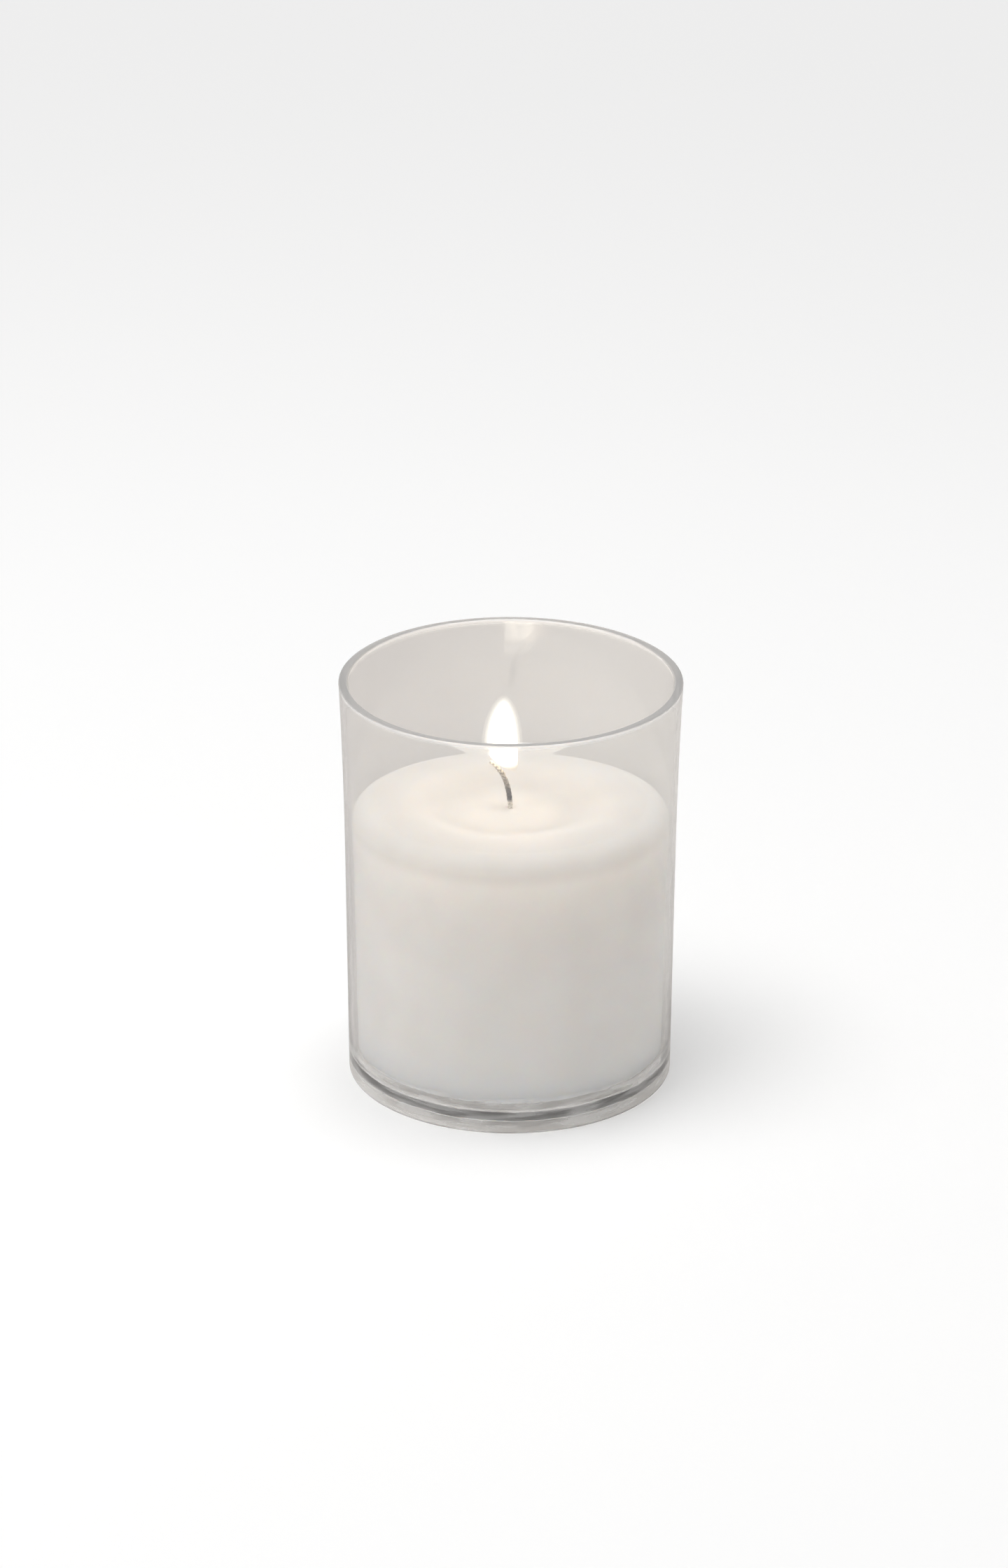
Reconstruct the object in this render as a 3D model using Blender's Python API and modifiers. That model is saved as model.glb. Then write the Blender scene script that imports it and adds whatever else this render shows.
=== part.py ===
"""A clear moulded candle cup with its candle standing in it.

Frame: metres, +Z up, origin at the centre of the foot ring's underside.
The cup stays put. The candle (wax, wick and wick tab) lifts straight up out of it.
"""

from math import cos, pi, sin

import bmesh
import bpy
from mathutils import Vector
from mathutils.geometry import interpolate_bezier

MM = 0.001
GAP = 0.3 * MM  # between pieces that touch on the real object

# Cup: the outer wall is a straight draft from the foot up to where the rim flares.
CUP_HEIGHT = 64.0 * MM
FOOT_RADIUS = 24.9 * MM
FLARE_RADIUS = 25.75 * MM  # outer radius where the flare starts
RIM_RADIUS = 26.0 * MM
FLARE_Z = 60.0 * MM
WALL = 1.1 * MM
FLOOR_UNDERSIDE_Z = 1.9 * MM
FLOOR_TOP_Z = 3.1 * MM
FOOT_CORNER = 0.35 * MM  # radius of the foot ring's outer and inner edges
SKIRT_CORNER = 0.4 * MM  # fillet between the skirt and the floor's underside
FLOOR_CORNER = 1.0 * MM  # fillet between the floor and the wall inside the cup
GATE_RADIUS = 1.6 * MM  # the moulding's gate mark, a shallow dimple under the floor
GATE_DEPTH = 0.3 * MM

# Wax: a level melted pool round the wick, a bank up to a soft crest, and a rounded shoulder.
WAX_UNDERSIDE_Z = 4.4 * MM
WAX_TOP_Z = 45.2 * MM  # the crest
WAX_BOTTOM_CORNER = 0.4 * MM
POOL_RADIUS = 10.3 * MM
POOL_DEPTH = 2.4 * MM  # below the crest
CREST_RADIUS = 16.5 * MM
BANK_STEPS = 6
SHOULDER_WIDTH = 2.7 * MM
SHOULDER_DROP = 2.1 * MM
SHOULDER_FALL = 0.45 * MM  # from the crest out to where the shoulder rounds over

# Wick: upright in the wax, then one smooth bend to its free end.
WICK_RADIUS = 0.45 * MM
WICK_BOTTOM_Z = 4.3 * MM
WICK_TIP = Vector((-3.1 * MM, -0.3 * MM, 50.8 * MM))
WICK_TIP_PULL = Vector((2.3 * MM, 0.1 * MM, -1.3 * MM))  # back along the wick from its tip
WICK_BEND_Z = 42.0 * MM
WICK_RISE = 5.4 * MM  # how strongly the bend keeps the wick upright at its foot
WICK_UPRIGHT_POINTS = 8
WICK_BENT_POINTS = 20

# Wick tab: its edge lies on the cup's floor, and its raised middle carries the wax.
TAB_RADIUS = 7.5 * MM
TAB_THICKNESS = 0.3 * MM
TAB_RAISE = 0.4 * MM
TAB_RAISED_RADIUS = 4.6 * MM
TAB_STEP_RADIUS = 5.6 * MM
TAB_UNDERSIDE_Z = FLOOR_TOP_Z + GAP
TAB_EDGE = 0.1 * MM
NECK_HEIGHT = 5.0 * MM
NECK_WALL = 0.3 * MM
NECK_FOOT = 0.5 * MM  # how far the neck's foot spreads into the disc

TURN_STEPS = 64
WICK_SIDES = 12
ARC_STEPS = 4


def outer_wall_radius(z):
    """The cup's outer radius on its straight draft."""
    return FOOT_RADIUS + (FLARE_RADIUS - FOOT_RADIUS) * z / FLARE_Z


def inner_wall_radius(z):
    return outer_wall_radius(z) - WALL


def wax_radius(z):
    """The wax follows the cup's inner draft, a gap inside it."""
    return inner_wall_radius(z) - GAP


def arc(centre, radius_r, radius_z, start, end, steps=ARC_STEPS):
    """Points (radius, height) on part of an ellipse, from one angle to another."""
    angles = [start + (end - start) * i / steps for i in range(steps + 1)]
    return [(centre[0] + radius_r * cos(a), centre[1] + radius_z * sin(a)) for a in angles]


def collection(name):
    made = bpy.data.collections.new(name)
    bpy.context.scene.collection.children.link(made)
    return made


def material(name, colour, roughness, metallic=0.0, transmission=0.0, subsurface=0.0, ior=1.5):
    made = bpy.data.materials.new(name)
    made.use_nodes = True
    shader = made.node_tree.nodes["Principled BSDF"]
    shader.inputs["Base Color"].default_value = (*colour, 1.0)
    shader.inputs["Roughness"].default_value = roughness
    shader.inputs["Metallic"].default_value = metallic
    shader.inputs["Transmission Weight"].default_value = transmission
    shader.inputs["Subsurface Weight"].default_value = subsurface
    shader.inputs["Subsurface Scale"].default_value = 5.0 * MM
    shader.inputs["IOR"].default_value = ior
    made.diffuse_color = (*colour, 1.0)
    return made


def turned(name, profile, group, finish):
    """A solid of revolution about Z, from a closed profile that runs down its outer side first."""
    mesh = bpy.data.meshes.new(name)
    shape = bmesh.new()
    corners = [shape.verts.new((radius, 0.0, z)) for radius, z in profile]
    for first, second in zip(corners, corners[1:] + corners[:1]):
        on_axis = first.co.x == 0.0 and second.co.x == 0.0
        if not on_axis:
            shape.edges.new((first, second))
    shape.to_mesh(mesh)
    shape.free()
    piece = bpy.data.objects.new(name, mesh)
    group.objects.link(piece)
    screw = piece.modifiers.new("turn", "SCREW")
    screw.axis = "Z"
    screw.steps = TURN_STEPS
    screw.render_steps = TURN_STEPS
    screw.use_merge_vertices = True
    screw.merge_threshold = 1e-6
    screw.use_smooth_shade = True
    mesh.materials.append(finish)
    return piece


def cup_profile():
    """Down the outside from the rim, across the foot and the floor's underside, then up the inside."""
    rim_inner = inner_wall_radius(FLARE_Z)
    lip = (RIM_RADIUS - rim_inner) / 2
    lip_centre = (RIM_RADIUS - lip, CUP_HEIGHT - lip)
    crown = arc(lip_centre, lip, lip, pi / 2, 0.0)
    wall = [(outer_wall_radius(z), z) for z in (FLARE_Z, CUP_HEIGHT / 2)]
    foot_centre = (outer_wall_radius(FOOT_CORNER) - FOOT_CORNER, FOOT_CORNER)
    foot = arc(foot_centre, FOOT_CORNER, FOOT_CORNER, 0.0, -pi / 2)
    skirt = inner_wall_radius(0.0)
    skirt_foot = arc((skirt + FOOT_CORNER, FOOT_CORNER), FOOT_CORNER, FOOT_CORNER, -pi / 2, -pi)
    skirt_centre = (skirt - SKIRT_CORNER, FLOOR_UNDERSIDE_Z - SKIRT_CORNER)
    skirt_top = arc(skirt_centre, SKIRT_CORNER, SKIRT_CORNER, 0.0, pi / 2)
    gate_z = FLOOR_UNDERSIDE_Z + GATE_DEPTH
    gate = [(GATE_RADIUS, FLOOR_UNDERSIDE_Z), (GATE_RADIUS * 0.8, gate_z), (0.0, gate_z)]
    corner_z = FLOOR_TOP_Z + FLOOR_CORNER
    corner_centre = (inner_wall_radius(corner_z) - FLOOR_CORNER, corner_z)
    inner_floor = [(0.0, FLOOR_TOP_Z)] + arc(corner_centre, FLOOR_CORNER, FLOOR_CORNER, -pi / 2, 0.0)
    inside = [(inner_wall_radius(CUP_HEIGHT / 2), CUP_HEIGHT / 2), (rim_inner, FLARE_Z)]
    lip_inner = arc(lip_centre, lip, lip, pi, pi / 2)[:-1]
    return crown + wall + foot + skirt_foot + skirt_top + gate + inner_floor + inside + lip_inner


def wax_profile():
    """Out over the pool and its bank, down the outside, then up the tab's recess and the wick's bore."""
    bore = WICK_RADIUS + GAP
    neck_hole = bore + NECK_WALL + GAP
    neck_hole_top = TAB_UNDERSIDE_Z + NECK_HEIGHT + GAP
    top = [(bore, WAX_TOP_Z - POOL_DEPTH)]
    for i in range(BANK_STEPS + 1):
        share = i / BANK_STEPS
        radius = POOL_RADIUS + (CREST_RADIUS - POOL_RADIUS) * share
        top.append((radius, WAX_TOP_Z - POOL_DEPTH * (1 + cos(pi * share)) / 2))
    shoulder_z = WAX_TOP_Z - SHOULDER_FALL - SHOULDER_DROP
    shoulder_centre = (wax_radius(shoulder_z) - SHOULDER_WIDTH, shoulder_z)
    halfway = (CREST_RADIUS + shoulder_centre[0]) / 2
    top.append((halfway, WAX_TOP_Z - SHOULDER_FALL / 4))
    shoulder = arc(shoulder_centre, SHOULDER_WIDTH, SHOULDER_DROP, pi / 2, 0.0, 2 * ARC_STEPS)
    foot_z = WAX_UNDERSIDE_Z + WAX_BOTTOM_CORNER
    foot_centre = (wax_radius(foot_z) - WAX_BOTTOM_CORNER, foot_z)
    foot = arc(foot_centre, WAX_BOTTOM_CORNER, WAX_BOTTOM_CORNER, 0.0, -pi / 2)
    recess = [
        (neck_hole + NECK_FOOT, WAX_UNDERSIDE_Z),
        (neck_hole, WAX_UNDERSIDE_Z + NECK_FOOT),
        (neck_hole, neck_hole_top),
        (bore, neck_hole_top),
    ]
    return top + shoulder + foot + recess


def tab_profile():
    """A thin pressed disc with a neck standing on it, open right through for the wick."""
    bore = WICK_RADIUS + GAP
    neck = bore + NECK_WALL
    neck_top = TAB_UNDERSIDE_Z + NECK_HEIGHT
    low_z = TAB_UNDERSIDE_Z
    high_z = TAB_UNDERSIDE_Z + TAB_RAISE
    outside = [
        (neck - TAB_EDGE, neck_top),
        (neck, neck_top - TAB_EDGE),
        (neck, high_z + TAB_THICKNESS + NECK_FOOT),
        (neck + NECK_FOOT * 0.3, high_z + TAB_THICKNESS + NECK_FOOT * 0.3),
        (neck + NECK_FOOT, high_z + TAB_THICKNESS),
        (TAB_RAISED_RADIUS, high_z + TAB_THICKNESS),
        (TAB_STEP_RADIUS, low_z + TAB_THICKNESS),
        (TAB_RADIUS - TAB_EDGE, low_z + TAB_THICKNESS),
        (TAB_RADIUS, low_z + TAB_THICKNESS - TAB_EDGE),
        (TAB_RADIUS, low_z + TAB_EDGE),
        (TAB_RADIUS - TAB_EDGE, low_z),
    ]
    underside = [
        (TAB_STEP_RADIUS - TAB_THICKNESS / 2, low_z),
        (TAB_RAISED_RADIUS - TAB_THICKNESS / 2, high_z),
        (bore + NECK_FOOT / 2, high_z),
    ]
    inside = [(bore, high_z + NECK_FOOT / 2), (bore, neck_top)]
    return outside + underside + inside


def wick_route():
    foot = Vector((0.0, 0.0, WICK_BOTTOM_Z))
    bend = Vector((0.0, 0.0, WICK_BEND_Z))
    upright = [foot.lerp(bend, i / WICK_UPRIGHT_POINTS) for i in range(WICK_UPRIGHT_POINTS)]
    above_bend = bend + Vector((0.0, 0.0, WICK_RISE))
    bent = interpolate_bezier(bend, above_bend, WICK_TIP + WICK_TIP_PULL, WICK_TIP, WICK_BENT_POINTS)
    return upright + bent


def wick(group, finish):
    curve = bpy.data.curves.new("wick", "CURVE")
    curve.dimensions = "3D"
    curve.bevel_depth = WICK_RADIUS
    curve.bevel_resolution = WICK_SIDES // 4 - 1
    curve.use_fill_caps = True
    spline = curve.splines.new("POLY")
    route = wick_route()
    spline.points.add(len(route) - 1)
    for point, place in zip(spline.points, route):
        point.co = (*place, 1.0)
    curve.materials.append(finish)
    piece = bpy.data.objects.new("wick", curve)
    group.objects.link(piece)
    return piece


def main():
    for old in list(bpy.data.objects):
        bpy.data.objects.remove(old, do_unlink=True)
    group = collection("candle_cup")
    clear_plastic = material("clear_plastic", (0.93, 0.92, 0.90), 0.05, transmission=1.0, ior=1.57)
    white_wax = material("white_wax", (0.93, 0.91, 0.87), 0.45, subsurface=0.8, ior=1.44)
    charred_cotton = material("charred_cotton", (0.16, 0.15, 0.15), 0.9)
    tin_plate = material("tin_plate", (0.72, 0.72, 0.72), 0.35, metallic=1.0)

    turned("cup", cup_profile(), group, clear_plastic)

    candle = bpy.data.objects.new("candle", None)
    group.objects.link(candle)
    pieces = [
        turned("wax_body", wax_profile(), group, white_wax),
        turned("wick_sustainer", tab_profile(), group, tin_plate),
        wick(group, charred_cotton),
    ]
    for piece in pieces:
        piece.parent = candle


main()
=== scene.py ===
"""The looks of a clear moulded candle cup with its candle burning in it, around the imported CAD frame.

Metres, +Z up, origin at the centre of the foot ring's underside.
"""

from math import cos, exp, pi, radians, sin, tau

import bmesh
import bpy
from mathutils import Matrix, Vector, noise
from mathutils.geometry import interpolate_bezier


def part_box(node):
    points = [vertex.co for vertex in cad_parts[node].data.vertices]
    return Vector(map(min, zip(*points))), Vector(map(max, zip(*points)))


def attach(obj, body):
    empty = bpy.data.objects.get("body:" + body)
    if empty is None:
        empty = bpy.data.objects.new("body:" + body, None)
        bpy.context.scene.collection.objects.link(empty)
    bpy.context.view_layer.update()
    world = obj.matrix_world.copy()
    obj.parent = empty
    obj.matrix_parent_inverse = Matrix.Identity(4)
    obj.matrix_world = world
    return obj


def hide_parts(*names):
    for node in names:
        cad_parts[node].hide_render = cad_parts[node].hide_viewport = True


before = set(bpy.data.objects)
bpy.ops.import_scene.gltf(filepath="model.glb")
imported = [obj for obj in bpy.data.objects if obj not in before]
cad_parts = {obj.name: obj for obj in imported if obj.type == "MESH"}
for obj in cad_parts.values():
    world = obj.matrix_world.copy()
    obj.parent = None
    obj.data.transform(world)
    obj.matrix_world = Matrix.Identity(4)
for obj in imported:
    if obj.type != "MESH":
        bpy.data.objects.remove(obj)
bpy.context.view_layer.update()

MM = 0.001

# The cup and the wax take their outer sizes from the frame.
CUP_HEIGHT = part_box("cup")[1][2]
RIM_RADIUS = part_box("cup")[1][0]
WAX_TOP_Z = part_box("wax_body")[1][2]
WAX_UNDERSIDE_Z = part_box("wax_body")[0][2]
TAB_TOP_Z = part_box("wick_sustainer")[1][2]
WICK_BOTTOM_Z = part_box("wick")[0][2]

FOOT_RADIUS = RIM_RADIUS - 1.1 * MM
DRAFT = 0.6 * MM  # how much wider the wall is at the rim than at the foot, before it opens
OPENING_Z = CUP_HEIGHT - 30.0 * MM  # where the outer wall starts to open towards the rim
OPENING_POWER = 2.2
LIP_OUTER = 0.2 * MM  # the rounding of the lip's outer and inner edges
LIP_INNER = 0.35 * MM
WALL = 0.85 * MM  # at the foot; the rim is almost twice as thick
FLOOR_UNDERSIDE_Z = 1.9 * MM
FLOOR_TOP_Z = 3.1 * MM
FOOT_CORNER = 0.3 * MM  # the rounding of the foot ring's two edges
SKIRT_CORNER = 0.4 * MM  # between the skirt and the floor's underside
FLOOR_CORNER = 1.0 * MM  # between the floor and the wall inside the cup
GATE_RADIUS = 1.6 * MM  # the moulding's gate mark, a dimple under the floor
GATE_DEPTH = 0.3 * MM
WAVE_DEPTH = 0.008 * MM  # the moulding's slight waviness
CORNER_DENT = 0.06 * MM  # the uneven corners round the floor plate, inwards and up or down
CORNER_LIFT = 0.16 * MM
GAP = 0.3 * MM  # between the wick or its tab and the wax
CUP_STEPS = 384  # round the cup and the wax

WAX_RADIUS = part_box("wax_body")[1][0]
WAX_DRAFT = 0.0142  # the side's slope, in radius over height
WAX_CORNER_WIDTH = 3.4 * MM  # the rounded shoulder
WAX_CORNER_DROP = 2.9 * MM
WAX_FOOT_CORNER = 0.4 * MM
CREST_RADIUS = 16.5 * MM
POOL_LEVEL = WAX_TOP_Z - 1.7 * MM
POOL_RADIUS = 8.7 * MM
CREEP = 0.5 * MM  # how far the melted wax climbs the wick

WICK_RADIUS = 0.45 * MM
WICK_TIP = Vector((-3.1 * MM, 0.8 * MM, 51.2 * MM))
WICK_TIP_PULL = Vector((2.2 * MM, -0.5 * MM, -1.3 * MM))  # back along the wick from its tip
WICK_BEND_Z = 42.0 * MM
WICK_RISE = 5.4 * MM  # how strongly the bend keeps the wick upright at its foot
STRAND_RADIUS = 0.215 * MM
PLAIT_PITCH = 1.9 * MM
BURNT_LENGTH = 2.2 * MM  # the thinner, crumbling end

FLAME_BOTTOM_Z = 50.8 * MM
FLAME_TOP_Z = 60.5 * MM
FLAME_RADIUS = 2.25 * MM
FLAME_X = -1.15 * MM
FLAME_SLANT = 1.5 * MM  # how much higher the flame's foot is on the wick tip's side
FLAME_LIGHT_Z = 58.0 * MM
FLAME_LIGHT_POWER = 0.0066
FLAME_LIGHT_COLOUR = (1.0, 0.80, 0.58)
FLAME_SKINS = (  # name, opacity, millimetres outside the flame
    ("flame_fringe", 0.35, 0.2),
    ("flame_halo", 0.16, 0.5),
    ("flame_haze", 0.08, 0.9),
)

# The studio, as seen straight on, as it lights the matt surfaces, and as it shows through the plastic.
WHITE = (1.0, 1.0, 1.0)
FLOOR_LIGHTING = (0.97, 0.96, 0.95)
FLOOR_THROUGH_LEFT = (0.62, 0.595, 0.58)
FLOOR_THROUGH_RIGHT = (0.70, 0.675, 0.65)
FAR_FLOOR_THROUGH = (0.72, 0.695, 0.675)
SKY_THROUGH = (0.715, 0.69, 0.67)
SKY_LEVELS = ((0.3, 1.25), (0.57, 0.28))  # the sine of the angle above the horizon, and the light there
FLOOR_FADE = (0.3, 1.1)  # metres from the axis, over which the floor turns plain white

CAMERA_TARGET = Vector((-1.0 * MM, 0.0, 46.9 * MM))
CAMERA_DISTANCE = 0.808
CAMERA_ELEVATION = radians(23.28)
CAMERA_ROLL = radians(0.17)
CAMERA_LENS = 122.1


# --- shapes ---------------------------------------------------------------------------------


def smooth(share):
    """0 to 1 with no kink at either end."""
    share = min(max(share, 0.0), 1.0)
    return share * share * (3.0 - 2.0 * share)


def arc(centre, radius_r, radius_z, start, end, steps):
    angles = [start + (end - start) * i / steps for i in range(steps + 1)]
    return [(centre[0] + radius_r * cos(a), centre[1] + radius_z * sin(a)) for a in angles]


def line(start, end, steps):
    """Points from start to end, leaving out the last."""
    return [
        (start[0] + (end[0] - start[0]) * i / steps, start[1] + (end[1] - start[1]) * i / steps)
        for i in range(steps)
    ]


def linked(name, mesh, material):
    mesh.materials.append(material)
    piece = bpy.data.objects.new(name, mesh)
    bpy.context.scene.collection.objects.link(piece)
    for polygon in mesh.polygons:
        polygon.use_smooth = True
    return piece


def bridged(shape, rings, steps, ring=False):
    """Faces between each row of corners and the next. A row may be one corner on the axis."""
    following = rings[1:] + rings[:1] if ring else rings[1:]
    for first, second in zip(rings, following):
        for i in range(steps):
            j = (i + 1) % steps
            corners = [first[i % len(first)], first[j % len(first)]]
            corners += [second[j % len(second)], second[i % len(second)]]
            face = list(dict.fromkeys(corners))
            if len(face) > 2:
                shape.faces.new(face)


def finished(name, shape, material):
    bmesh.ops.recalc_face_normals(shape, faces=shape.faces)
    mesh = bpy.data.meshes.new(name)
    shape.to_mesh(mesh)
    shape.free()
    return linked(name, mesh, material)


def turned(name, profile, steps, material, ring=False, place=None):
    """A solid of revolution. The profile runs from axis to axis, or round a ring; place moves a point."""
    shape = bmesh.new()
    rings = []
    for radius, z in profile:
        if radius == 0.0:
            rings.append([shape.verts.new((0.0, 0.0, z))])
            continue
        corners = []
        for i in range(steps):
            angle = tau * i / steps
            r, height = place(angle, radius, z) if place else (radius, z)
            corners.append(shape.verts.new((r * cos(angle), r * sin(angle), height)))
        rings.append(corners)
    bridged(shape, rings, steps, ring)
    return finished(name, shape, material)


def opening(z):
    """How far the upper wall has opened past its straight draft."""
    share = max(0.0, (z - OPENING_Z) / (CUP_HEIGHT - OPENING_Z))
    return (RIM_RADIUS - FOOT_RADIUS - DRAFT) * share**OPENING_POWER


def outer_wall_radius(z):
    return FOOT_RADIUS + DRAFT * z / CUP_HEIGHT + opening(z)


def inner_wall_radius(z):
    """Drafted at the foot and upright at the rim, so the wall thickens towards the rim."""
    return FOOT_RADIUS - WALL + 0.9 * DRAFT * (1.0 - (1.0 - z / CUP_HEIGHT) ** 2)


def cup_profile():
    """From the axis under the floor, over the foot, up the wall, over the rim and down to the inner floor."""
    gate_z = FLOOR_UNDERSIDE_Z + GATE_DEPTH
    points = [(0.0, gate_z)] + line((0.4 * MM, gate_z), (GATE_RADIUS * 0.75, gate_z), 3)
    points += line((GATE_RADIUS * 0.8, gate_z), (GATE_RADIUS, FLOOR_UNDERSIDE_Z), 3)
    skirt = inner_wall_radius(0.0)
    points += line((GATE_RADIUS, FLOOR_UNDERSIDE_Z), (skirt - SKIRT_CORNER, FLOOR_UNDERSIDE_Z), 14)
    skirt_centre = (skirt - SKIRT_CORNER, FLOOR_UNDERSIDE_Z - SKIRT_CORNER)
    points += arc(skirt_centre, SKIRT_CORNER, SKIRT_CORNER, pi / 2, 0.0, 8)
    points += arc((skirt + FOOT_CORNER, FOOT_CORNER), FOOT_CORNER, FOOT_CORNER, pi, 1.5 * pi, 8)
    foot_r = outer_wall_radius(FOOT_CORNER) - FOOT_CORNER
    points += arc((foot_r, FOOT_CORNER), FOOT_CORNER, FOOT_CORNER, -pi / 2, 0.0, 8)
    outer_z = CUP_HEIGHT - LIP_OUTER
    inner_z = CUP_HEIGHT - LIP_INNER
    wall_steps = 48
    for i in range(1, wall_steps):
        z = FOOT_CORNER + (outer_z - FOOT_CORNER) * i / wall_steps
        points.append((outer_wall_radius(z), z))
    points += arc((outer_wall_radius(outer_z) - LIP_OUTER, outer_z), LIP_OUTER, LIP_OUTER, 0.0, pi / 2, 14)
    points += arc((inner_wall_radius(inner_z) + LIP_INNER, inner_z), LIP_INNER, LIP_INNER, pi / 2, pi, 12)
    corner_z = FLOOR_TOP_Z + FLOOR_CORNER
    for i in range(1, wall_steps):
        z = inner_z + (corner_z - inner_z) * i / wall_steps
        points.append((inner_wall_radius(z), z))
    corner_r = inner_wall_radius(corner_z) - FLOOR_CORNER
    points += arc((corner_r, corner_z), FLOOR_CORNER, FLOOR_CORNER, 0.0, -pi / 2, 12)
    points += line((corner_r - 0.8 * MM, FLOOR_TOP_Z), (0.4 * MM, FLOOR_TOP_Z), 14)
    return points + [(0.0, FLOOR_TOP_Z)]


def cup_place(angle, radius, z):
    """The moulding's slight waviness, none at the rim, and the uneven corners round the floor plate."""
    fade = smooth(z / (6 * MM)) * smooth((CUP_HEIGHT - z) / (6 * MM))
    around = Vector((cos(angle), sin(angle), 0.0))
    wave = noise.noise(around * 1.4 + Vector((0.0, 0.0, z * 45.0)))
    low = smooth((5.5 * MM - z) / (1.5 * MM)) * smooth((z - 1.2 * MM) / (0.5 * MM))
    low *= smooth((radius - 18 * MM) / (4 * MM)) * (radius < outer_wall_radius(z) - 0.3 * MM)
    streak = noise.noise(around * 5.0 + Vector((3.0, 0.0, z * 200.0))) + 0.5 * noise.noise(around * 16.0)
    lift = noise.noise(around * 9.0 + Vector((0.0, 9.0, radius * 300.0)))
    radius += WAVE_DEPTH * (wave - 1.0) * fade + low * CORNER_DENT * (streak - 0.8)
    return radius, z + low * CORNER_LIFT * lift


def wax_radius(z):
    return WAX_RADIUS - WAX_DRAFT * (WAX_TOP_Z - z)


def top_height(radius):
    """The top from the wick outwards: the melted pool, the bank round it, the crest's slow fall."""
    creep = CREEP * exp(-max(0.0, radius - WICK_RADIUS) / WICK_RADIUS)
    share = min(max((radius - POOL_RADIUS) / (CREST_RADIUS - POOL_RADIUS), 0.0), 1.0)
    bank = (WAX_TOP_Z - POOL_LEVEL) * (1.0 - cos(pi * share)) / 2.0
    fall = 0.02 * max(0.0, radius - CREST_RADIUS) ** 2 / MM
    return POOL_LEVEL + creep + bank - fall


def wax_profile():
    """From the wick's bore out over the top, down the side and back under to the tab's recess."""
    bore = WICK_RADIUS + GAP
    hole = bore + 2 * GAP
    hole_top = TAB_TOP_Z + GAP
    corner_r = wax_radius(WAX_TOP_Z - WAX_CORNER_DROP) - WAX_CORNER_WIDTH
    top_steps = 120
    radii = [bore + (corner_r - bore) * i / top_steps for i in range(top_steps)]
    points = [(radius, top_height(radius)) for radius in radii]
    corner_z = top_height(corner_r) - WAX_CORNER_DROP
    points += arc((corner_r, corner_z), WAX_CORNER_WIDTH, WAX_CORNER_DROP, pi / 2, 0.0, 24)
    corner = WAX_FOOT_CORNER
    foot_z = WAX_UNDERSIDE_Z + corner
    side_steps = 60
    for i in range(1, side_steps):
        z = corner_z + (foot_z - corner_z) * i / side_steps
        points.append((wax_radius(z), z))
    points += arc((wax_radius(foot_z) - corner, foot_z), corner, corner, 0.0, -pi / 2, 8)
    points += line((wax_radius(foot_z) - 2 * corner, WAX_UNDERSIDE_Z), (hole, WAX_UNDERSIDE_Z), 20)
    points += line((hole, WAX_UNDERSIDE_Z), (hole, hole_top), 8)
    points += line((hole, hole_top), (bore, hole_top), 2)
    return points + line((bore, hole_top), (bore, top_height(bore)), 20)


def wax_place(angle, radius, z):
    """A soft swell of the top, and a ragged lower edge."""
    around = Vector((cos(angle), sin(angle), 0.0))
    top = smooth((z - (WAX_TOP_Z - 5 * MM)) / (4 * MM)) * smooth((radius - POOL_RADIUS) / (4 * MM))
    swell = noise.noise(around * 1.3 + Vector((2.0, 5.0, radius * 90.0)))
    foot = smooth((WAX_UNDERSIDE_Z + 1.4 * MM - z) / (1.4 * MM)) * smooth((radius - 20 * MM) / (3 * MM))
    teeth = abs(noise.noise(around * 75.0)) + 0.35 * noise.noise(around * 17.0 + Vector((0.0, 0.0, 4.0)))
    outer = smooth((radius - 20 * MM) / (3 * MM))
    dent = noise.noise(Vector((around.x * 3.0, around.y * 3.0, z * 120.0)))
    radius -= outer * (0.03 * MM + 0.03 * MM * dent)
    return radius, z - top * (0.08 * MM + 0.08 * MM * swell) + foot * max(0.0, 0.3 * MM * teeth)


def wick_route(count):
    bottom = Vector((0.0, 0.0, WICK_BOTTOM_Z))
    bend = Vector((0.0, 0.0, WICK_BEND_Z))
    upright = [bottom.lerp(bend, i / count) for i in range(count)]
    above = bend + Vector((0.0, 0.0, WICK_RISE))
    return upright + interpolate_bezier(bend, above, WICK_TIP + WICK_TIP_PULL, WICK_TIP, count)


def braid(name, material):
    """Three plaited strands along the wick's route, thinner and crumbling towards the burnt end."""
    route = wick_route(150)
    lengths = [0.0]
    for first, second in zip(route, route[1:]):
        lengths.append(lengths[-1] + (second - first).length)
    whole = lengths[-1]
    shape = bmesh.new()
    strand_sides = 10
    for strand in range(3):
        rings = []
        for i, centre in enumerate(route):
            ahead = route[min(i + 1, len(route) - 1)] - route[max(i - 1, 0)]
            tangent = ahead.normalized()
            across = Vector((0.0, 1.0, 0.0)).cross(tangent).normalized()
            other = tangent.cross(across)
            phase = tau * (lengths[i] / PLAIT_PITCH + strand / 3.0)
            end = smooth((lengths[i] - (whole - BURNT_LENGTH)) / BURNT_LENGTH)
            spread = 1.0 - 0.35 * end
            middle = centre + spread * (across * 0.2 * MM * cos(phase) + other * 0.1 * MM * sin(2.0 * phase))
            corners = []
            for side in range(strand_sides):
                angle = tau * side / strand_sides
                way = across * cos(angle) + other * sin(angle)
                crumb = noise.noise((middle + way * 0.2 * MM) * 4200.0 + Vector((strand * 7.0, 0.0, 0.0)))
                radius = STRAND_RADIUS * (1.0 - 0.3 * end) * (1.0 + 0.16 * crumb)
                corners.append(shape.verts.new(middle + way * radius))
            rings.append(corners)
        bridged(shape, rings, strand_sides)
        shape.faces.new(reversed(rings[0]))
        shape.faces.new(rings[-1])
    return finished(name, shape, material)


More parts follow.
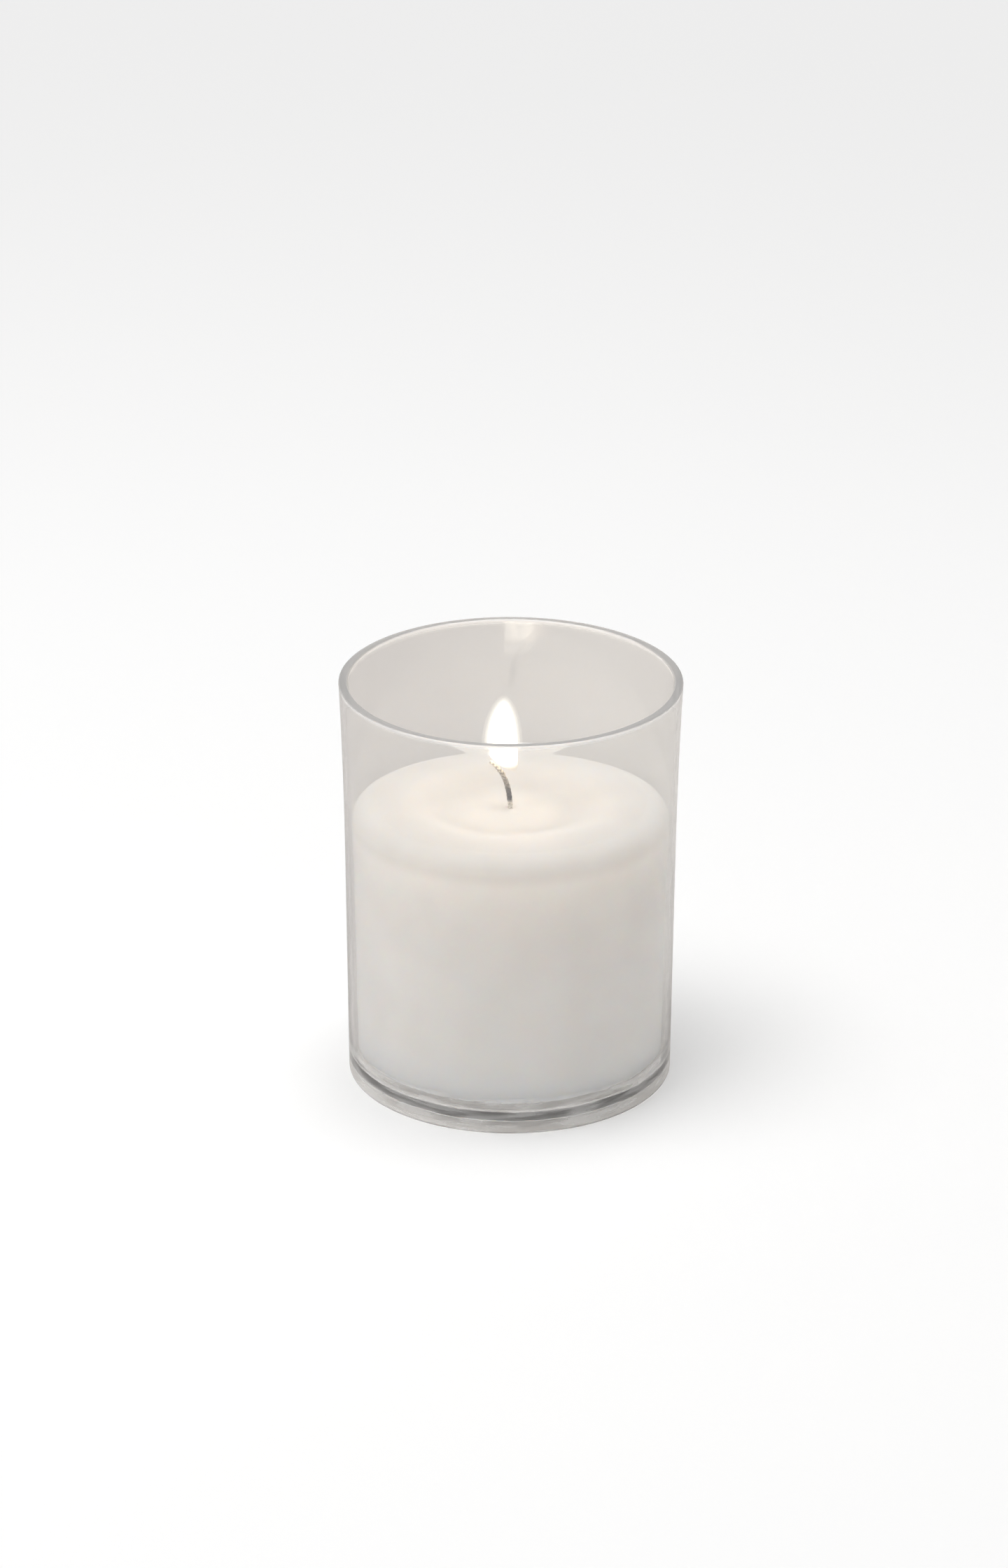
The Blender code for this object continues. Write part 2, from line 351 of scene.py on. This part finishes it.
def flame_radius(share):
    """The flame's radius from its round foot, share 0, up a straight column to its rounded tip, share 1."""
    foot = (1.0 - max(0.0, 1.0 - share / 0.14) ** 2) ** 0.5
    tip = (1.0 - min(max(0.0, (share - 0.16) / 0.84), 1.0) ** 2.4) ** 0.64
    return FLAME_RADIUS * (0.12 + 0.88 * foot) * tip


def flame(name, material, grow):
    """A teardrop, its foot slanting up to the wick's bent end. grow moves its surface outwards."""
    steps, sides = 48, 48
    shape = bmesh.new()
    rings = []
    for i in range(steps + 1):
        share = i / steps
        z = FLAME_BOTTOM_Z - grow + (FLAME_TOP_Z - FLAME_BOTTOM_Z + 2 * grow) * share
        radius = flame_radius(share) * (1.0 + grow / FLAME_RADIUS)
        lean = FLAME_X - 0.15 * MM * sin(pi * share) + 0.1 * MM * share
        slant = FLAME_SLANT * (1.0 - smooth(share / 0.6))
        if i in (0, steps):
            rings.append([shape.verts.new((lean, 0.0, z))])
            continue
        corners = []
        for side in range(sides):
            angle = tau * side / sides
            x = radius * cos(angle)
            y = radius * 0.92 * sin(angle)
            corners.append(shape.verts.new((lean + x, y, z - slant * x / FLAME_RADIUS)))
        rings.append(corners)
    bridged(shape, rings, sides)
    return finished(name, shape, material)


# --- materials --------------------------------------------------------------------------------


class Nodes:
    """A material's node tree, with short calls for the few kinds of node used here."""

    def __init__(self, name):
        self.material = bpy.data.materials.new(name)
        self.material.use_nodes = True
        self.tree = self.material.node_tree
        self.shader = self.tree.nodes["Principled BSDF"]
        self.output = self.tree.nodes["Material Output"]

    def set(self, **values):
        for name, value in values.items():
            self.shader.inputs[name.replace("_", " ")].default_value = value

    def node(self, kind, **inputs):
        made = self.tree.nodes.new(kind)
        for name, value in inputs.items():
            made.inputs[name.replace("_", " ")].default_value = value
        return made

    def link(self, start, end):
        self.tree.links.new(start, end)

    def position(self):
        return self.node("ShaderNodeTexCoord").outputs["Object"]

    def noise(self, scale, detail=3.0, roughness=0.5, squeeze=(1.0, 1.0, 1.0)):
        mapping = self.node("ShaderNodeMapping", Scale=squeeze)
        self.link(self.position(), mapping.inputs["Vector"])
        made = self.node("ShaderNodeTexNoise", Scale=scale, Detail=detail, Roughness=roughness)
        self.link(mapping.outputs["Vector"], made.inputs["Vector"])
        return made.outputs["Fac"]

    def ramp(self, value, *stops):
        made = self.tree.nodes.new("ShaderNodeValToRGB")
        elements = made.color_ramp.elements
        while len(elements) < len(stops):
            elements.new(0.5)
        for element, (place, colour) in zip(elements, stops):
            element.position = place
            element.color = (*colour, 1.0) if len(colour) == 3 else colour
        self.link(value, made.inputs["Fac"])
        return made.outputs["Color"]

    def remap(self, value, low, high, to_low, to_high):
        made = self.node("ShaderNodeMapRange")
        made.inputs["From Min"].default_value = low
        made.inputs["From Max"].default_value = high
        made.inputs["To Min"].default_value = to_low
        made.inputs["To Max"].default_value = to_high
        self.link(value, made.inputs["Value"])
        return made.outputs["Result"]

    def height(self, low, high):
        """0 at the low height, 1 at the high one."""
        split = self.tree.nodes.new("ShaderNodeSeparateXYZ")
        self.link(self.position(), split.inputs["Vector"])
        return self.remap(split.outputs["Z"], low, high, 0.0, 1.0)

    def from_axis(self):
        """The distance from the Z axis."""
        length = self.node("ShaderNodeVectorMath")
        length.operation = "LENGTH"
        flat = self.node("ShaderNodeVectorMath")
        flat.operation = "MULTIPLY"
        flat.inputs[1].default_value = (1.0, 1.0, 0.0)
        self.link(self.position(), flat.inputs[0])
        self.link(flat.outputs["Vector"], length.inputs[0])
        return length.outputs["Value"]

    def blended(self, share, first, second):
        """first, a number, where share is 0, and second, a socket, where it is 1."""
        mix = self.tree.nodes.new("ShaderNodeMix")
        self.link(share, mix.inputs[0])
        mix.inputs[2].default_value = first
        self.link(second, mix.inputs[3])
        return mix.outputs[0]

    def bump(self, height, strength, distance):
        made = self.node("ShaderNodeBump", Strength=strength, Distance=distance)
        self.link(height, made.inputs["Height"])
        self.link(made.outputs["Normal"], self.shader.inputs["Normal"])

    def lets_light_through(self, tint):
        """Shadow rays pass straight through, so that lamps light what is inside."""
        ray = self.tree.nodes.new("ShaderNodeLightPath")
        through = self.node("ShaderNodeBsdfTransparent", Color=(*tint, 1.0))
        mix = self.tree.nodes.new("ShaderNodeMixShader")
        self.link(ray.outputs["Is Shadow Ray"], mix.inputs["Fac"])
        self.link(self.shader.outputs["BSDF"], mix.inputs[1])
        self.link(through.outputs["BSDF"], mix.inputs[2])
        self.link(mix.outputs["Shader"], self.output.inputs["Surface"])


def clear_plastic():
    made = Nodes("clear_plastic")
    made.set(IOR=1.5)
    # The wall is clear and the rim hazy. Round the foot, outside the floor plate, the haze is streaky.
    upper = made.ramp(
        made.height(0.0, CUP_HEIGHT),
        (0.986, (0.94, 0.94, 0.94)),
        (0.994, (0.66, 0.66, 0.66)),
    )
    streaks = made.noise(130.0, detail=2.0, squeeze=(1.0, 1.0, 9.0))
    foot = made.ramp(streaks, (0.42, (0.72, 0.72, 0.72)), (0.58, (0.88, 0.88, 0.88)))
    plate = made.remap(made.from_axis(), 19.0 * MM, 22.0 * MM, 1.0, 0.0)
    above = made.height(FLOOR_TOP_Z + 2.1 * MM, FLOOR_TOP_Z + 2.9 * MM)
    hazy = made.tree.nodes.new("ShaderNodeMix")
    hazy.data_type = "RGBA"
    clear = made.node("ShaderNodeMath")
    clear.operation = "MAXIMUM"
    made.link(plate, clear.inputs[0])
    made.link(above, clear.inputs[1])
    made.link(clear.outputs["Value"], hazy.inputs[0])
    made.link(foot, hazy.inputs[6])
    made.link(upper, hazy.inputs[7])
    made.link(hazy.outputs[2], made.shader.inputs["Transmission Weight"])
    cloud = made.noise(60.0, detail=2.0, squeeze=(1.0, 1.0, 0.5))
    tint = made.ramp(cloud, (0.3, (0.92, 0.915, 0.907)), (0.7, (0.942, 0.937, 0.929)))
    made.link(tint, made.shader.inputs["Base Color"])
    scuffs = made.noise(900.0, detail=4.0, roughness=0.6, squeeze=(1.0, 1.0, 0.15))
    made.link(made.remap(scuffs, 0.35, 0.75, 0.015, 0.06), made.shader.inputs["Roughness"])
    made.bump(made.noise(110.0, detail=1.0, squeeze=(1.0, 1.0, 0.25)), 0.05, 0.02 * MM)
    made.lets_light_through((0.93, 0.925, 0.915))
    return made.material


def white_wax():
    made = Nodes("white_wax")
    made.set(Subsurface_Weight=1.0, Subsurface_Scale=12.0 * MM, Subsurface_Radius=(1.0, 0.8, 0.6), IOR=1.44)
    cloud = made.noise(140.0, detail=4.0, roughness=0.55)
    colour = made.ramp(cloud, (0.3, (0.85, 0.835, 0.815)), (0.7, (0.90, 0.89, 0.875)))
    # Painted shade: the top few millimetres of the wax are darkened to three quarters, so that the light from
    # above leaves the top no brighter than the side.
    painted_top_shade = made.node("ShaderNodeMix")
    painted_top_shade.data_type = "RGBA"
    painted_top_shade.blend_type = "MULTIPLY"
    painted_top_shade.inputs[7].default_value = (0.75, 0.75, 0.75, 1.0)
    made.link(made.height(WAX_TOP_Z - 5.0 * MM, WAX_TOP_Z - 2.0 * MM), painted_top_shade.inputs[0])
    made.link(colour, painted_top_shade.inputs[6])
    made.link(painted_top_shade.outputs[2], made.shader.inputs["Base Color"])
    grain = made.noise(1400.0, detail=5.0, roughness=0.65)
    solid = made.remap(made.from_axis(), POOL_RADIUS, POOL_RADIUS + 6.0 * MM, 0.0, 1.0)
    made.shader.inputs["Specular IOR Level"].default_value = 0.35
    matt = made.remap(grain, 0.3, 0.7, 0.6, 0.75)
    made.link(made.blended(solid, 0.35, matt), made.shader.inputs["Roughness"])
    made.bump(made.blended(solid, 0.5, grain), 0.25, 0.05 * MM)
    return made.material


def burnt_cotton():
    """Wax-soaked and pale at the foot, charred above, with an ashy grey end."""
    made = Nodes("burnt_cotton")
    zones = made.ramp(
        made.height(POOL_LEVEL, WICK_TIP.z),
        (0.0, (0.90, 0.87, 0.80)),
        (0.14, (0.78, 0.73, 0.64)),
        (0.22, (0.09, 0.083, 0.088)),
        (0.40, (0.10, 0.09, 0.093)),
        (0.52, (0.30, 0.27, 0.24)),
        (0.76, (0.48, 0.44, 0.38)),
        (1.0, (0.85, 0.78, 0.66)),
    )
    ash = made.noise(3600.0, detail=4.0, roughness=0.7)
    mix = made.tree.nodes.new("ShaderNodeMix")
    mix.data_type = "RGBA"
    mix.blend_type = "MULTIPLY"
    mix.inputs[0].default_value = 0.6
    made.link(zones, mix.inputs[6])
    made.link(made.ramp(ash, (0.4, (0.2, 0.2, 0.22)), (0.6, (1.25, 1.25, 1.25))), mix.inputs[7])
    made.link(mix.outputs[2], made.shader.inputs["Base Color"])
    made.set(Roughness=0.85)
    made.bump(ash, 0.6, 0.04 * MM)
    return made.material


def tin_plate():
    made = Nodes("tin_plate")
    made.set(Metallic=1.0)
    rings = made.noise(700.0, detail=3.0)
    colour = made.ramp(rings, (0.3, (0.60, 0.60, 0.59)), (0.7, (0.78, 0.78, 0.77)))
    made.link(colour, made.shader.inputs["Base Color"])
    made.link(made.remap(rings, 0.3, 0.7, 0.25, 0.42), made.shader.inputs["Roughness"])
    made.bump(rings, 0.15, 0.02 * MM)
    return made.material


def glow(name, strength, alpha, low):
    """The flame's own light. It fades out towards the foot, and is gone at the share low of the height."""
    made = Nodes(name)
    made.tree.nodes.remove(made.shader)
    height = made.height(FLAME_BOTTOM_Z, FLAME_TOP_Z)
    shine = made.node("ShaderNodeEmission", Strength=strength)
    made.link(made.ramp(height, (0.0, (0.3, 0.25, 0.18)), (0.2, (1.0, 0.96, 0.86))), shine.inputs["Color"])
    clear = made.node("ShaderNodeBsdfTransparent")
    mix = made.tree.nodes.new("ShaderNodeMixShader")
    made.link(made.remap(height, low, low + 0.18, 0.0, alpha), mix.inputs["Fac"])
    made.link(clear.outputs["BSDF"], mix.inputs[1])
    made.link(shine.outputs["Emission"], mix.inputs[2])
    made.link(mix.outputs["Shader"], made.output.inputs["Surface"])
    return made.material


# --- the pieces -------------------------------------------------------------------------------


def cup():
    piece = turned("cup_shell", cup_profile(), CUP_STEPS, clear_plastic(), place=cup_place)
    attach(piece, "cup")
    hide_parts("cup")


def candle():
    wax = turned("wax_slug", wax_profile(), CUP_STEPS, white_wax(), ring=True, place=wax_place)
    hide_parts("wax_body")
    plait = braid("wick_braid", burnt_cotton())
    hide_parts("wick")
    for piece in (wax, plait):
        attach(piece, "candle")
    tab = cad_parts["wick_sustainer"]
    tab.material_slots[0].material = tin_plate()


def burning():
    """The flame and, at its heart, the lamp that does its lighting."""
    pieces = [flame("flame", glow("flame_core", 4.0, 1.0, -0.04), 0.0)]
    for name, alpha, grow in FLAME_SKINS:
        pieces.append(flame(name, glow(name, 1.3, alpha, 0.1), grow * MM))
    for piece in pieces:
        piece.visible_shadow = False
        piece.visible_diffuse = False
        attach(piece, "candle")
    lamp = bpy.data.lights.new("flame_light", "POINT")
    lamp.energy = FLAME_LIGHT_POWER
    lamp.color = FLAME_LIGHT_COLOUR
    lamp.shadow_soft_size = 2.0 * MM
    holder = bpy.data.objects.new("flame_light", lamp)
    holder.location = (FLAME_X, 0.0, FLAME_LIGHT_Z)
    bpy.context.scene.collection.objects.link(holder)
    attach(holder, "candle")


# --- the stage --------------------------------------------------------------------------------


def by_ray(tree, seen, lighting, through):
    """One colour straight on, one for lighting the matt surfaces, one in and through the plastic."""
    ray = tree.nodes.new("ShaderNodeLightPath")
    value = through
    for share, colour in ((ray.outputs["Diffuse Depth"], lighting), (ray.outputs["Is Camera Ray"], seen)):
        mix = tree.nodes.new("ShaderNodeMix")
        mix.data_type = "RGBA"
        tree.links.new(share, mix.inputs[0])
        for socket, given in ((mix.inputs[6], value), (mix.inputs[7], colour)):
            if isinstance(given, tuple):
                socket.default_value = (*given, 1.0)
            else:
                tree.links.new(given, socket)
        value = mix.outputs[2]
    return value


def floor():
    """Matt and lit near the object. Far out it glows plain white instead, so that no edge shows."""
    mesh = bpy.data.meshes.new("floor")
    shape = bmesh.new()
    bmesh.ops.create_grid(shape, x_segments=1, y_segments=1, size=4.0)
    shape.to_mesh(mesh)
    shape.free()
    made = Nodes("floor")
    made.set(Roughness=0.9)
    made.shader.inputs["Specular IOR Level"].default_value = 0.0
    split = made.tree.nodes.new("ShaderNodeSeparateXYZ")
    made.link(made.position(), split.inputs["Vector"])
    across = made.remap(split.outputs["X"], -0.035, 0.01, 0.0, 1.0)
    through = made.ramp(across, (0.0, FLOOR_THROUGH_LEFT), (1.0, FLOOR_THROUGH_RIGHT))
    colour = by_ray(made.tree, WHITE, FLOOR_LIGHTING, through)
    far = made.remap(made.from_axis(), *FLOOR_FADE, 0.0, 1.0)
    lit = made.tree.nodes.new("ShaderNodeMix")
    lit.data_type = "RGBA"
    lit.inputs[7].default_value = (0.0, 0.0, 0.0, 1.0)
    made.link(far, lit.inputs[0])
    made.link(colour, lit.inputs[6])
    made.link(lit.outputs[2], made.shader.inputs["Base Color"])
    own = by_ray(made.tree, WHITE, WHITE, FAR_FLOOR_THROUGH)
    made.link(own, made.shader.inputs["Emission Color"])
    made.link(made.remap(far, 0.0, 1.0, 0.05, 1.0), made.shader.inputs["Emission Strength"])
    piece = linked("floor", mesh, made.material)
    piece.location.z = -0.05 * MM


def sky():
    """Plain white to look at. It lights from low down, where the studio's walls would be."""
    world = bpy.data.worlds.new("studio")
    bpy.context.scene.world = world
    world.use_nodes = True
    tree = world.node_tree
    place = tree.nodes.new("ShaderNodeTexCoord")
    split = tree.nodes.new("ShaderNodeSeparateXYZ")
    tree.links.new(place.outputs["Generated"], split.inputs["Vector"])
    dome = tree.nodes.new("ShaderNodeValToRGB")
    dome.color_ramp.elements[0].color = (2.5, 2.47, 2.44, 1.0)
    dome.color_ramp.elements[1].color = (0.0, 0.0, 0.0, 1.0)
    for height, level in SKY_LEVELS:
        dome.color_ramp.elements.new(height).color = (level, level, level, 1.0)
    tree.links.new(split.outputs["Z"], dome.inputs["Fac"])
    colour = by_ray(tree, WHITE, dome.outputs["Color"], SKY_THROUGH)
    tree.links.new(colour, tree.nodes["Background"].inputs["Color"])


def softbox(name, place, size, power, aim=Vector((0.0, 0.0, 0.03))):
    light = bpy.data.lights.new(name, "AREA")
    light.shape = "RECTANGLE"
    light.size, light.size_y = size
    light.energy = power
    holder = bpy.data.objects.new(name, light)
    holder.location = place
    holder.rotation_euler = (aim - Vector(place)).to_track_quat("-Z", "Y").to_euler()
    bpy.context.scene.collection.objects.link(holder)


def camera():
    data = bpy.data.cameras.new("camera")
    data.lens = CAMERA_LENS
    data.clip_start = 0.01
    holder = bpy.data.objects.new("camera", data)
    back = Vector((0.0, -cos(CAMERA_ELEVATION), sin(CAMERA_ELEVATION)))
    right = Vector((1.0, 0.0, 0.0))
    up = back.cross(right)
    turn = Matrix((right, up, back)).transposed().to_4x4() @ Matrix.Rotation(CAMERA_ROLL, 4, "Z")
    holder.matrix_world = Matrix.Translation(CAMERA_TARGET + back * CAMERA_DISTANCE) @ turn
    bpy.context.scene.collection.objects.link(holder)
    bpy.context.scene.camera = holder


camera()
cup()
candle()
burning()
floor()
sky()
softbox("key", (-0.367, -0.134, 0.921), (0.62, 0.62), 3.95)
softbox("overhead", (0.10, 0.12, 0.99), (0.42, 0.42), 2.6)
bpy.context.scene.view_settings.view_transform = "Standard"
